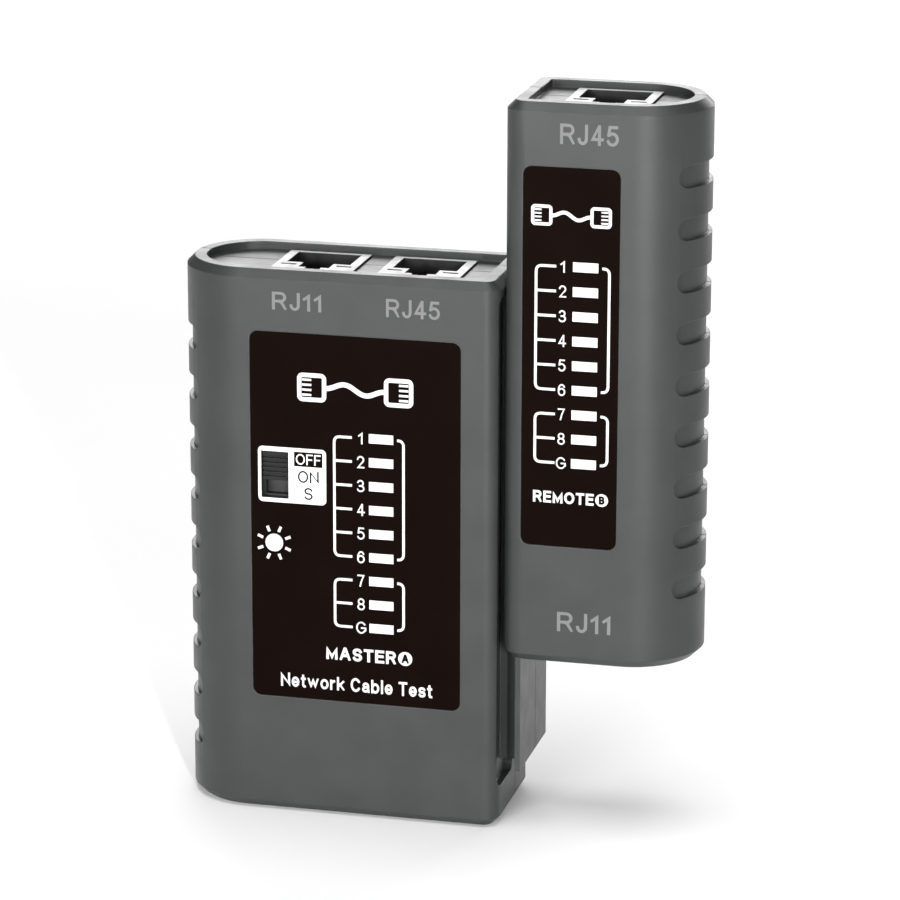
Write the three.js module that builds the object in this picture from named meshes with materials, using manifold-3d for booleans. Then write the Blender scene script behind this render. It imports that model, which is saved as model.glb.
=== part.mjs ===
// Network cable tester: a master unit and a remote unit that slides on a rail along the master's side.
// Millimetres, +Z up, front face towards -Y. The origin is the centre of the footprint, at the base.
// Inside each unit's group, X runs from its left side, Y is the depth behind the front face, and Z is
// the height above its base.
import * as THREE from 'three';
import { mergeVertices } from 'three/addons/utils/BufferGeometryUtils.js';
import Module from 'manifold-3d';

const wasm = await Module();
wasm.setup();

// ---- Driving dimensions ----
const HEIGHT = 104;
const DEPTH = 26.8;
const MASTER_WIDTH = 62;
const REMOTE_WIDTH = 35.4;
const UNIT_GAP = 0.5;
const REMOTE_RAISE = 33.3; // how far the remote stands above the master, as stored here
const WALL = 2;
const EDGE_CHAMFER = 1.5;
const ROUND_END = DEPTH / 2; // each unit has one half-round side
const ROUND_END_STEPS = 28;
const CORNER_STEPS = 5;
const SEAM_DEPTH = 15; // where the front shell meets the rear shell
const SEAM_GAP = 0.2;
const RIM = 3.6; // from the outer face to the edge of the recess around the sockets
const POCKET_DEPTH = 1.4;
const TOP_WALL = 1.6;

// Label recess and sticker
const LABEL_HEIGHT = 70;
const LABEL_BASE = 22.6;
const LABEL_CORNER = 1.5;
const LABEL_RECESS = 0.5;
const LABEL_THICKNESS = 0.3;
const MASTER_LABEL = { x: 15.3, width: 39.6 };
const REMOTE_LABEL = { x: 3.85, width: 17.5 };

// Nine indicator windows on each unit
const WINDOWS = 9;
const WINDOW = { width: 4.7, height: 1.85, pitch: 4.55 };
const MASTER_WINDOWS = { x: 40, lowest: 37.25 };
const REMOTE_WINDOWS = { x: 15.25, lowest: 38.3 };
const POWER_LENS = { x: 19.55, z: 52.45, radius: 1.7 };

// Slide switch
const SWITCH = { x: 19.8, bottom: 61.1, width: 5.1, height: 8.9, corner: 0.2 };
const KNOB = { width: 4.7, height: 5.3, ribs: 6 };

// Sockets, all of the eight-contact size
const JACK = { width: 15.5, front: 6.4, depth: 15, height: 16 };
const MOUTH = { width: 12.1, front: 12.3, back: 20.7, length: 13 };
const LATCH_SLOT = { width: 5.8, front: 8.9 };
const FACE_SLIT = { inner: 3.8, outer: 6.7, front: 10.3, back: 11.3, depth: 2 };
const JACK_PROUD = 0.4;
const MASTER_JACKS = [24.95, 45.1];
const REMOTE_JACK = 17.05;

// Rail on the master and slot in the remote
const RAIL = { bottom: 11, top: 98, front: 2.2, back: 24.2, thickness: 1 };
const STEM = { front: 8.5, back: 17.9 };
const LIP = 2.1; // wall of the remote beside the slot's mouth
const RUNNING_GAP = 0.35;
const SLOT_TOP = 98.4;
const SIDE_GROOVE = { depth: 1.4, front: 1.8, back: 22.8, bottom: 7.4, top: 101, lowerBack: 13 };

// Finger grips on the half-round sides
const GRIPS = 9;
const GRIP_DEPTH = 0.8;
const GRIP_HALF_ANGLE = 47;
const MASTER_GRIPS = { lowest: 12.1, pitch: 9.65, height: 4.6 };
const REMOTE_GRIPS = { lowest: 14.7, pitch: 9.54, height: 4.1 };

// Circuit boards, battery and fasteners
const BOARD = { front: 4.6, thickness: 1.6 };
const BATTERY = { width: 26.5, depth: 17.5, body: 46.4, x: 33, front: 7.25, bottom: 3.6 };
const TRAY = { clearance: 0.15, wall: 0.85, top: 60 };
const DOOR = { width: 29.4, top: 57.7, thickness: 1.8, ridges: 6 };
const DOOR_PIN = { z: 5.2, radius: 0.55, length: 0.9 }; // the door swings out on two pins near the base
const MASTER_SCREWS = [[14.2, 8], [56.2, 8], [14.2, 80], [56.2, 80]];
const REMOTE_SCREWS = [[19.5, 26], [19.5, 80]];
const SCREW_HEAD = 2.6;

const COLOURS = {
  shell: { color: 0x5f6161, roughness: 0.55, metalness: 0 },
  label: { color: 0x1c1512, roughness: 0.35, metalness: 0 },
  lens: { color: 0xf4f4f0, roughness: 0.4, metalness: 0 },
  jack: { color: 0xcfcfcd, roughness: 0.45, metalness: 0 },
  contact: { color: 0xc9a44c, roughness: 0.3, metalness: 1 },
  knob: { color: 0x2c2e2d, roughness: 0.5, metalness: 0 },
  board: { color: 0x1f5a36, roughness: 0.5, metalness: 0 },
  black: { color: 0x161616, roughness: 0.5, metalness: 0 },
  battery: { color: 0x3b4a6b, roughness: 0.4, metalness: 0.1 },
  steel: { color: 0x9a9c9e, roughness: 0.35, metalness: 1 },
  red: { color: 0xa02018, roughness: 0.5, metalness: 0 },
};

// ---- Solids ----
function solid(geometry) {
  const plain = geometry.clone();
  plain.deleteAttribute('normal');
  plain.deleteAttribute('uv');
  const merged = mergeVertices(plain, 1e-4);
  const vertProperties = new Float32Array(merged.attributes.position.array);
  const triVerts = new Uint32Array(merged.index.array);
  return new wasm.Manifold(new wasm.Mesh({ numProp: 3, vertProperties, triVerts }));
}

function geometryOf(manifold) {
  const result = manifold.getMesh();
  const geometry = new THREE.BufferGeometry();
  geometry.setAttribute('position', new THREE.BufferAttribute(new Float32Array(result.vertProperties), 3));
  geometry.setIndex(new THREE.BufferAttribute(new Uint32Array(result.triVerts), 1));
  geometry.computeVertexNormals();
  return geometry;
}

function joined(solids) {
  return solids.reduce((whole, piece) => whole.add(piece));
}

function cut(body, cutters) {
  return cutters.reduce((whole, cutter) => whole.subtract(cutter), body);
}

// A box between two corners.
function block(x0, x1, y0, y1, z0, z1) {
  const geometry = new THREE.BoxGeometry(x1 - x0, y1 - y0, z1 - z0);
  geometry.translate((x0 + x1) / 2, (y0 + y1) / 2, (z0 + z1) / 2);
  return solid(geometry);
}

// A round bar along Y, from y0 to y1.
function bar(x, z, radius, y0, y1, sides = 20) {
  const geometry = new THREE.CylinderGeometry(radius, radius, y1 - y0, sides);
  geometry.translate(x, (y0 + y1) / 2, z);
  return solid(geometry);
}

function arc(cx, cy, radius, fromDegrees, toDegrees, steps) {
  const points = [];
  for (let i = 0; i <= steps; i += 1) {
    const angle = THREE.MathUtils.degToRad(fromDegrees + (toDegrees - fromDegrees) * (i / steps));
    points.push(new THREE.Vector2(cx + radius * Math.cos(angle), cy + radius * Math.sin(angle)));
  }
  return points;
}

// A rectangle with round corners, as points.
function roundedRectangle(x0, x1, y0, y1, radius, steps = 3) {
  return [
    ...arc(x1 - radius, y0 + radius, radius, -90, 0, steps),
    ...arc(x1 - radius, y1 - radius, radius, 0, 90, steps),
    ...arc(x0 + radius, y1 - radius, radius, 90, 180, steps),
    ...arc(x0 + radius, y0 + radius, radius, 180, 270, steps),
  ];
}

// A column over an outline in X and Y.
function column(points, z0, z1) {
  const outline = new THREE.Shape(points);
  const geometry = new THREE.ExtrudeGeometry(outline, { depth: z1 - z0, bevelEnabled: false });
  geometry.translate(0, 0, z0);
  return solid(geometry);
}

// A plate over an outline in X and Z, with holes, from depth y0 to y1.
function plateGeometry(points, y0, y1, holes = []) {
  const shape = new THREE.Shape(points);
  holes.forEach((hole) => shape.holes.push(new THREE.Path(hole)));
  const geometry = new THREE.ExtrudeGeometry(shape, { depth: y1 - y0, bevelEnabled: false });
  geometry.rotateX(Math.PI / 2);
  geometry.translate(0, y1, 0);
  return geometry;
}

// A slab over an outline in Y and Z, from x0 to x1.
function slab(points, x0, x1) {
  const outline = new THREE.Shape(points);
  const geometry = new THREE.ExtrudeGeometry(outline, { depth: x1 - x0, bevelEnabled: false });
  const basis = new THREE.Matrix4().makeBasis(
    new THREE.Vector3(0, 1, 0), new THREE.Vector3(0, 0, 1), new THREE.Vector3(1, 0, 0));
  geometry.applyMatrix4(basis);
  geometry.translate(x0, 0, 0);
  return solid(geometry);
}

// ---- Unit outline: one half-round side and one side with two rounded corners ----
function unitOutline(width, inset, frontCorner, backCorner, roundOnLeft) {
  const points = [
    ...arc(width - frontCorner, frontCorner, frontCorner - inset, -90, 0, CORNER_STEPS),
    ...arc(width - backCorner, DEPTH - backCorner, backCorner - inset, 0, 90, CORNER_STEPS),
    ...arc(ROUND_END, ROUND_END, ROUND_END - inset, 90, 270, ROUND_END_STEPS),
  ];
  if (roundOnLeft) return points;
  return points.map((p) => new THREE.Vector2(width - p.x, p.y)).reverse();
}

const MASTER = { width: MASTER_WIDTH, frontCorner: 3.2, backCorner: 2.8, roundOnLeft: true };
const REMOTE = { width: REMOTE_WIDTH, frontCorner: 4, backCorner: 3, roundOnLeft: false };

function outlineOf(unit, inset) {
  return unitOutline(unit.width, inset, unit.frontCorner, unit.backCorner, unit.roundOnLeft);
}

// The cavity and the socket recess have square-cut corners on the flat side, so one plain inset serves.
function innerOutline(unit, inset) {
  const corner = inset + 0.6;
  return unitOutline(unit.width, inset, corner, corner, unit.roundOnLeft);
}

function unitBody(unit) {
  const geometry = new THREE.ExtrudeGeometry(new THREE.Shape(outlineOf(unit, 0)), {
    depth: HEIGHT - 2 * EDGE_CHAMFER,
    bevelEnabled: true,
    bevelThickness: EDGE_CHAMFER,
    bevelSize: EDGE_CHAMFER,
    bevelOffset: -EDGE_CHAMFER,
    bevelSegments: 1,
  });
  geometry.translate(0, 0, EDGE_CHAMFER);
  return solid(geometry);
}

// Grips: short round-ended scoops around the half-round side.
function gripCutters(unit, grips) {
  const centre = unit.roundOnLeft ? ROUND_END : unit.width - ROUND_END;
  const middle = unit.roundOnLeft ? 180 : 0;
  const inner = ROUND_END - GRIP_DEPTH;
  const outer = ROUND_END + 2;
  const sweep = GRIP_HALF_ANGLE - THREE.MathUtils.radToDeg(grips.height / 2 / ROUND_END);
  const cutters = [];
  for (let i = 0; i < GRIPS; i += 1) {
    const z = grips.lowest + i * grips.pitch;
    const band = [
      ...arc(centre, ROUND_END, outer, middle - sweep, middle + sweep, 14),
      ...arc(centre, ROUND_END, inner, middle + sweep, middle - sweep, 14),
    ];
    cutters.push(column(band, z - grips.height / 2, z + grips.height / 2));
    [-sweep, sweep].forEach((turn) => {
      const endRadius = grips.height / 2 - 0.04;
      const end = new THREE.CylinderGeometry(endRadius, endRadius, outer - inner, 14);
      end.rotateZ(-Math.PI / 2);
      end.translate((outer + inner) / 2 + 0.02, 0, 0);
      end.rotateZ(THREE.MathUtils.degToRad(middle + turn * 0.985));
      end.translate(centre, ROUND_END, z);
      cutters.push(solid(end));
    });
  }
  return cutters;
}

// ---- Openings that the front shell, the label and the light guide share ----
function windowOutline(windows, index, margin) {
  const z = windows.lowest + index * WINDOW.pitch;
  const halfWidth = WINDOW.width / 2 + margin;
  const halfHeight = WINDOW.height / 2 + margin;
  return [
    new THREE.Vector2(windows.x - halfWidth, z - halfHeight),
    new THREE.Vector2(windows.x + halfWidth, z - halfHeight),
    new THREE.Vector2(windows.x + halfWidth, z + halfHeight),
    new THREE.Vector2(windows.x - halfWidth, z + halfHeight),
  ];
}

function windowOutlines(windows, margin) {
  return Array.from({ length: WINDOWS }, (unused, index) => windowOutline(windows, index, margin));
}

function switchOutline(margin) {
  const x0 = SWITCH.x - SWITCH.width / 2 - margin;
  const x1 = SWITCH.x + SWITCH.width / 2 + margin;
  const z0 = SWITCH.bottom - margin;
  const z1 = SWITCH.bottom + SWITCH.height + margin;
  return roundedRectangle(x0, x1, z0, z1, SWITCH.corner, 1);
}

function labelOutline(label, margin) {
  const z0 = LABEL_BASE - margin;
  const z1 = LABEL_BASE + LABEL_HEIGHT + margin;
  return roundedRectangle(label.x - margin, label.x + label.width + margin, z0, z1, LABEL_CORNER + margin, 6);
}

function through(outline, y0, y1) {
  return solid(plateGeometry(outline, y0, y1));
}

function frontFaceCutters(label, windows) {
  const cutters = [through(labelOutline(label, 0.1), -1, LABEL_RECESS)];
  windowOutlines(windows, 0.1).forEach((outline) => cutters.push(through(outline, -1, WALL + 1)));
  return cutters;
}

// ---- Shells ----
const POCKET_FLOOR = HEIGHT - POCKET_DEPTH;
const CAVITY_TOP = POCKET_FLOOR - TOP_WALL;

function jackHole(x, z0, z1) {
  const gap = 0.2;
  return block(x - JACK.width / 2 - gap, x + JACK.width / 2 + gap,
    JACK.front - gap, JACK.front + JACK.depth + gap, z0, z1);
}

function topCutters(unit, jacks) {
  const pocket = column(innerOutline(unit, RIM), POCKET_FLOOR, HEIGHT + 1);
  return [pocket, ...jacks.map((x) => jackHole(x, CAVITY_TOP - 1, HEIGHT + 1))];
}

// Screw pillars that run past the seam, to be trimmed with the shell that they stand in.
function frontPillars(unit, screws) {
  const posts = screws.map(([x, z]) => bar(x, z, 2.6, WALL - 0.7, SEAM_DEPTH + 1, 16));
  return joined(posts).intersect(unitBody(unit));
}

function rearPillars(unit, screws) {
  return joined(screws.map(([x, z]) => bar(x, z, 3.9, SEAM_DEPTH - 1, DEPTH - 1))).intersect(unitBody(unit));
}

function frontHalf(body) {
  return body.intersect(block(-5, 80, -1, SEAM_DEPTH - SEAM_GAP / 2, -1, HEIGHT + 1));
}

function rearHalf(body) {
  return body.intersect(block(-5, 80, SEAM_DEPTH + SEAM_GAP / 2, DEPTH + 1, -1, HEIGHT + 1));
}

function screwHoles(screws) {
  const headSeat = DEPTH - 5.6;
  return screws.flatMap(([x, z]) => [
    bar(x, z, 1.7, SEAM_DEPTH - 1, DEPTH - 2),
    bar(x, z, SCREW_HEAD + 0.3, headSeat, DEPTH + 1, 24),
  ]);
}

function pilotHoles(screws) {
  return screws.map(([x, z]) => bar(x, z, 1.4, 4, SEAM_DEPTH + 1));
}

// Master body with its rail, still in one piece and hollow.
function masterHollow() {
  const side = MASTER_WIDTH;
  const flangeInner = side + UNIT_GAP + LIP + 0.3;
  const rail = joined([
    block(flangeInner, flangeInner + RAIL.thickness, RAIL.front, RAIL.back, RAIL.bottom, RAIL.top),
    block(side - 1, flangeInner + 0.5, STEM.front, STEM.back, RAIL.bottom, RAIL.top),
  ]);
  const groove = SIDE_GROOVE;
  const grooves = [
    [groove.front, STEM.front, groove.top],
    [STEM.back, groove.back, groove.top],
    [groove.front, groove.lowerBack, RAIL.bottom],
  ].map(([y0, y1, top]) => {
    const outline = roundedRectangle(y0, y1, groove.bottom, top, 1.6, 4);
    return slab(outline, side - groove.depth, side + 1);
  });
  const outer = unitBody(MASTER).add(rail);
  const roomRight = block(-1, side - groove.depth - WALL, -1, DEPTH + 1, -1, HEIGHT + 1);
  const cavity = column(innerOutline(MASTER, WALL), WALL, CAVITY_TOP).intersect(roomRight);
  const grips = gripCutters(MASTER, MASTER_GRIPS);
  return cut(outer, [...grooves, cavity, ...grips, ...topCutters(MASTER, MASTER_JACKS)]);
}

function masterFrontShell() {
  const shell = frontHalf(masterHollow().add(frontPillars(MASTER, MASTER_SCREWS)));
  const lensHole = bar(POWER_LENS.x, POWER_LENS.z, POWER_LENS.radius + 0.1, -1, WALL + 1, 28);
  return cut(shell, [
    ...frontFaceCutters(MASTER_LABEL, MASTER_WINDOWS),
    through(switchOutline(0.1), -1, WALL + 1),
    lensHole,
    ...pilotHoles(MASTER_SCREWS),
  ]);
}

// The rear shell carries the battery tray, which is open at the back behind the battery door.
const DOOR_FRONT = DEPTH - DOOR.thickness;
const DOOR_LEFT = BATTERY.x - DOOR.width / 2;
const DOOR_RIGHT = BATTERY.x + DOOR.width / 2;

// A round bar along X, from x0 to x1.
function axle(y, z, radius, x0, x1, sides = 16) {
  const geometry = new THREE.CylinderGeometry(radius, radius, x1 - x0, sides);
  geometry.rotateZ(Math.PI / 2);
  geometry.translate((x0 + x1) / 2, y, z);
  return solid(geometry);
}

const DOOR_GAP = 0.3;
const DOOR_PIN_DEPTH = DEPTH - DOOR.thickness / 2;

function batteryTray() {
  const halfWidth = BATTERY.width / 2 + TRAY.clearance;
  const roomFront = BATTERY.front - 0.1;
  const roomBottom = BATTERY.bottom - 0.3;
  const tray = block(BATTERY.x - halfWidth - TRAY.wall, BATTERY.x + halfWidth + TRAY.wall,
    roomFront - 0.8, DEPTH - 1.9, roomBottom - 0.9, TRAY.top);
  const roomLeft = BATTERY.x - halfWidth;
  const roomRight = BATTERY.x + halfWidth;
  const room = block(roomLeft, roomRight, roomFront, DEPTH + 1, roomBottom, TRAY.top - 1);
  return { tray, room };
}

function masterRearShell() {
  const { tray, room } = batteryTray();
  const frame = block(DOOR_LEFT - 2.6, DOOR_RIGHT + 2.6, DEPTH - 3, DEPTH - 0.5, 0.5, TRAY.top)
    .intersect(unitBody(MASTER));
  const doorway = block(DOOR_LEFT - DOOR_GAP, DOOR_RIGHT + DOOR_GAP, DOOR_FRONT - 0.2, DEPTH + 1,
    DOOR_PIN.z - DOOR.thickness / 2 - DOOR_GAP, DOOR.top + DOOR_GAP);
  const pinReach = DOOR_PIN.length + 0.2;
  const holeRadius = DOOR_PIN.radius + 0.1;
  const pinHoles = axle(DOOR_PIN_DEPTH, DOOR_PIN.z, holeRadius, DOOR_LEFT - pinReach, DOOR_RIGHT + pinReach);
  const notchTop = DOOR.top + 2.2;
  const fingerNotch = block(BATTERY.x - 5, BATTERY.x + 5, DEPTH - 1.1, DEPTH + 1, DOOR.top - 1, notchTop);
  const leadSlot = block(BATTERY.x + 4, BATTERY.x + 12, 9.5, 14.5, TRAY.top - 2, TRAY.top + 1);
  const half = rearHalf(masterHollow().add(rearPillars(MASTER, MASTER_SCREWS)));
  const shell = joined([half, tray, frame]);
  return cut(shell, [room, doorway, pinHoles, fingerNotch, leadSlot, ...screwHoles(MASTER_SCREWS)]);
}

// The door's lower edge is round about its pins, so it turns inside the doorway.
function batteryDoor() {
  const half = DOOR.thickness / 2;
  const outline = [
    ...arc(DOOR_PIN_DEPTH, DOOR_PIN.z, half, 180, 360, 8),
    new THREE.Vector2(DEPTH, DOOR.top),
    new THREE.Vector2(DOOR_FRONT, DOOR.top),
  ];
  const panel = slab(outline, DOOR_LEFT, DOOR_RIGHT);
  const pinsLeft = DOOR_LEFT - DOOR_PIN.length;
  const pinsRight = DOOR_RIGHT + DOOR_PIN.length;
  const pins = axle(DOOR_PIN_DEPTH, DOOR_PIN.z, DOOR_PIN.radius, pinsLeft, pinsRight);
  const ridges = Array.from({ length: DOOR.ridges }, (unused, i) => {
    const z = DOOR.top - 14 + i * 1.9;
    return block(BATTERY.x - 6, BATTERY.x + 6, DEPTH - 0.5, DEPTH + 1, z, z + 1);
  });
  return cut(joined([panel, pins]), ridges);
}

// Remote body with the T-shaped slot along its flat side.
function remoteHollow() {
  const slotDepth = LIP + RAIL.thickness + 0.6;
  const slotWall = slotDepth + 1.4;
  const outer = unitBody(REMOTE);
  const mouth = block(-1, LIP + 0.5, STEM.front - 0.4, STEM.back + 0.4, -1, SLOT_TOP);
  const slot = block(LIP, slotDepth, RAIL.front - RUNNING_GAP, RAIL.back + RUNNING_GAP, -1, SLOT_TOP);
  const roomLeft = block(slotWall, REMOTE_WIDTH + 1, -1, DEPTH + 1, -1, HEIGHT + 1);
  const bottomWall = POCKET_DEPTH + TOP_WALL;
  const cavity = column(innerOutline(REMOTE, WALL), bottomWall, CAVITY_TOP).intersect(roomLeft);
  const bottomPocket = column(innerOutline(REMOTE, RIM), -1, POCKET_DEPTH);
  const bottomJack = jackHole(REMOTE_JACK, -1, bottomWall + 1);
  return cut(outer, [
    mouth, slot, cavity, bottomPocket, bottomJack,
    ...gripCutters(REMOTE, REMOTE_GRIPS), ...topCutters(REMOTE, [REMOTE_JACK]),
  ]);
}

function remoteFrontShell() {
  const shell = frontHalf(remoteHollow().add(frontPillars(REMOTE, REMOTE_SCREWS)));
  return cut(shell, [...frontFaceCutters(REMOTE_LABEL, REMOTE_WINDOWS), ...pilotHoles(REMOTE_SCREWS)]);
}

function remoteRearShell() {
  const shell = rearHalf(remoteHollow().add(rearPillars(REMOTE, REMOTE_SCREWS)));
  return cut(shell, screwHoles(REMOTE_SCREWS));
}

// ---- Labels, light guides and the switch ----
function labelSticker(label, holes) {
  const back = LABEL_RECESS - 0.05;
  return plateGeometry(labelOutline(label, 0), back - LABEL_THICKNESS, back, holes);
}

// One clear moulding: a strip behind the front wall with a raised window for each light.
function lightGuide(windows) {
  const halfWidth = WINDOW.width / 2 + 1;
  const z0 = windows.lowest - 2;
  const z1 = windows.lowest + (WINDOWS - 1) * WINDOW.pitch + 2;
  const strip = block(windows.x - halfWidth, windows.x + halfWidth, WALL + 0.15, WALL + 1.15, z0, z1);
  const bosses = windowOutlines(windows, -0.05).map((outline) => through(outline, 0.15, WALL + 0.5));
  return joined([strip, ...bosses]);
}

function powerLens() {
  const flange = WALL + 0.15;
  const profile = [[0, flange + 0.9], [2.7, flange + 0.9], [2.7, flange], [POWER_LENS.radius, flange],
    [POWER_LENS.radius, 0.15], [0, 0.15]];
  const geometry = new THREE.LatheGeometry(profile.map(([r, y]) => new THREE.Vector2(r, y)).reverse(), 24);
  geometry.translate(POWER_LENS.x, 0, POWER_LENS.z);
  return geometry;
}

const SWITCH_MIDDLE = SWITCH.bottom + SWITCH.height / 2;

function switchBody() {
  const body = block(SWITCH.x - 3.6, SWITCH.x + 3.6, WALL + 0.1, BOARD.front - 0.1,
    SWITCH_MIDDLE - 6.5, SWITCH_MIDDLE + 6.5);
  const track = block(SWITCH.x - 2.3, SWITCH.x + 2.3, WALL - 1, WALL + 1.6,
    SWITCH.bottom + 0.2, SWITCH.bottom + SWITCH.height - 0.2);
  return body.subtract(track);
}

function switchKnob() {
  const top = SWITCH.bottom + SWITCH.height - 0.2;
  const bottom = top - KNOB.height;
  const halfWidth = KNOB.width / 2;
  const head = block(SWITCH.x - halfWidth, SWITCH.x + halfWidth, 0.15, 1.9, bottom, top);
  const tail = block(SWITCH.x - 1.9, SWITCH.x + 1.9, 1.5, WALL + 1.4, bottom + 0.5, top - 0.3);
  const pitch = KNOB.height / KNOB.ribs;
  const valleys = Array.from({ length: KNOB.ribs - 1 }, (unused, i) => {
    const z = bottom + (i + 1) * pitch;
    return block(SWITCH.x - 3, SWITCH.x + 3, -1, 0.6, z - 0.2, z + 0.2);
  });
  return cut(joined([head, tail]), valleys);
}

// ---- Sockets ----
// A socket facing up with its top at z = 0. The latch side is towards the front.
function jackHousing() {
  const body = block(-JACK.width / 2, JACK.width / 2, JACK.front, JACK.front + JACK.depth, -JACK.height, 0);
  const mouth = block(-MOUTH.width / 2, MOUTH.width / 2, MOUTH.front, MOUTH.back, -MOUTH.length, 1);
  const halfSlot = LATCH_SLOT.width / 2;
  const latch = block(-halfSlot, halfSlot, LATCH_SLOT.front, MOUTH.front + 0.5, -MOUTH.length, 1);
  const catchSlot = block(-halfSlot / 2, halfSlot / 2, LATCH_SLOT.front - 1.2, MOUTH.front, -MOUTH.length, 1);
  const slits = [-1, 1].map((side) => {
    const ends = [side * FACE_SLIT.inner, side * FACE_SLIT.outer];
    return block(Math.min(...ends), Math.max(...ends), FACE_SLIT.front, FACE_SLIT.back, -FACE_SLIT.depth, 1);
  });
  const combRoom = block(-5.2, 5.2, MOUTH.back - 0.3, MOUTH.back + 0.6, -MOUTH.length, -2.6);
  return cut(body, [mouth, latch, catchSlot, ...slits, combRoom]);
}

// Eight spring contacts standing on one carrier at the bottom of the mouth.
function jackContacts() {
  const pitch = 1.02;
  const floor = -MOUTH.length + 0.15;
  const carrier = block(-5, 5, MOUTH.back - 2.6, MOUTH.back + 0.3, floor, floor + 1.4);
  const wires = Array.from({ length: 8 }, (unused, i) => {
    const x = (i - 3.5) * pitch;
    const outline = [
      new THREE.Vector2(MOUTH.back + 0.15, floor + 1), new THREE.Vector2(MOUTH.back + 0.15, -3.4),
      new THREE.Vector2(MOUTH.back - 0.15, -3.1), new THREE.Vector2(MOUTH.back - 2.3, floor + 4.2),
      new THREE.Vector2(MOUTH.back - 2.1, floor + 3.9), new THREE.Vector2(MOUTH.back - 0.2, -3.9),
      new THREE.Vector2(MOUTH.back - 0.2, floor + 1),
    ];
    return slab(outline, x - 0.23, x + 0.23);
  });
  return joined([carrier, ...wires]);
}

// ---- Boards and what is on them ----
function boardPlate(outline, holes) {
  return plateGeometry(outline, BOARD.front, BOARD.front + BOARD.thickness, holes);
}

function masterBoard() {
  return boardPlate(roundedRectangle(17.2, 53, 28, 100, 1.2, 2), []);
}

function remoteBoard() {
  const outline = roundedRectangle(6.6, 28.6, 4, 100, 1.2, 2);
  const holes = REMOTE_SCREWS.map(([x, z]) => arc(x, z, 3, 0, 330, 11));
  return boardPlate(outline, holes);
}

function lamp(x, z) {
  const base = block(x - 1.6, x + 1.6, BOARD.front - 0.75, BOARD.front - 0.1, z - 0.75, z + 0.75);
  const dome = bar(x, z, 0.6, BOARD.front - 1.15, BOARD.front - 0.5, 12);
  return base.add(dome);
}

const BOARD_BACK = BOARD.front + BOARD.thickness + 0.1;

// A small chip with square-cut legs along two sides.
function chip(x, z, width, height, legs) {
  const front = BOARD_BACK + 0.2;
  const back = BOARD_BACK + 2;
  const body = block(x - width / 2, x + width / 2, front, back, z - height / 2, z + height / 2);
  const pitch = height / legs;
  const pins = Array.from({ length: legs }, (unused, i) => {
    const pinZ = z - height / 2 + (i + 0.5) * pitch;
    const reach = width / 2 + 1;
    return block(x - reach, x + reach, BOARD_BACK, BOARD_BACK + 0.9, pinZ - 0.2, pinZ + 0.2);
  });
  return joined([body, ...pins]);
}

function capacitor() {
  return bar(48.5, 76, 3.1, BOARD_BACK, BOARD_BACK + 11, 20);
}

// ---- Battery, snap and leads ----
const BATTERY_TOP = BATTERY.bottom + BATTERY.body;
const BATTERY_MIDDLE = BATTERY.front + BATTERY.depth / 2;

function post(x, z0, z1, radius, sides) {
  const geometry = new THREE.CylinderGeometry(radius, radius, z1 - z0, sides);
  geometry.rotateX(Math.PI / 2);
  geometry.translate(x, BATTERY_MIDDLE, (z0 + z1) / 2);
  return solid(geometry);
}

function battery() {
  const half = BATTERY.width / 2;
  const outline = roundedRectangle(BATTERY.x - half, BATTERY.x + half, BATTERY.front,
    BATTERY.front + BATTERY.depth, 2, 4);
  const can = column(outline, BATTERY.bottom, BATTERY_TOP);
  const terminals = [post(BATTERY.x - 6.4, BATTERY_TOP - 1, BATTERY_TOP + 2.1, 2.9, 18),
    post(BATTERY.x + 6.4, BATTERY_TOP - 1, BATTERY_TOP + 2.1, 4, 6)];
  return joined([can, ...terminals]);
}

function batterySnap() {
  const z0 = BATTERY_TOP + 0.3;
  const outline = roundedRectangle(BATTERY.x - 12.6, BATTERY.x + 12.6, BATTERY_MIDDLE - 6,
    BATTERY_MIDDLE + 6, 5.5, 5);
  const pad = column(outline, z0, z0 + 4.2);
  const smallHole = post(BATTERY.x - 6.4, z0 - 1, z0 + 2.4, 3.2, 18);
  const largeHole = post(BATTERY.x + 6.4, z0 - 1, z0 + 2.4, 4.4, 18);
  return cut(pad, [smallHole, largeHole]);
}

function lead(x) {
  const path = new THREE.CatmullRomCurve3([
    new THREE.Vector3(x, 12, BATTERY_TOP + 4.8),
    new THREE.Vector3(x, 12, TRAY.top + 0.5),
    new THREE.Vector3(x, 10.6, TRAY.top + 4.5),
    new THREE.Vector3(x, BOARD_BACK + 0.3, TRAY.top + 6.2),
  ]);
  const section = new THREE.Shape(arc(0, 0, 0.7, 0, 315, 7));
  return new THREE.ExtrudeGeometry(section, { steps: 10, extrudePath: path, bevelEnabled: false });
}

// ---- Screws ----
// A pan-head screw along Y, its head at the back, with a cross recess.
function caseScrew() {
  const seat = DEPTH - 5.4;
  const profile = [[0, seat - 13.5], [0.6, seat - 13], [1.2, seat - 11.5], [1.2, seat], [SCREW_HEAD, seat],
    [SCREW_HEAD, seat + 1], [SCREW_HEAD - 0.7, seat + 1.9], [0, seat + 1.9]];
  const geometry = new THREE.LatheGeometry(profile.map(([r, y]) => new THREE.Vector2(r, y)), 16);
  const level = block(-1.5, 1.5, seat + 0.7, seat + 3, -0.3, 0.3);
  const upright = block(-0.3, 0.3, seat + 0.7, seat + 3, -1.5, 1.5);
  const cross = [level, upright];
  return geometryOf(cut(solid(geometry), cross));
}

// ---- Assembly ----
function mesh(name, shape, look) {
  const geometry = shape.isBufferGeometry ? shape : geometryOf(shape);
  const result = new THREE.Mesh(geometry, new THREE.MeshStandardMaterial(look));
  result.name = name;
  return result;
}

function placed(item, x, y, z) {
  item.position.set(x, y, z);
  return item;
}

function addScrews(group, unitName, screws) {
  const geometry = caseScrew();
  screws.forEach(([x, z], i) => {
    group.add(placed(mesh(`${unitName}_case_screw_${i + 1}`, geometry, COLOURS.steel), x, 0, z));
  });
}

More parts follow.
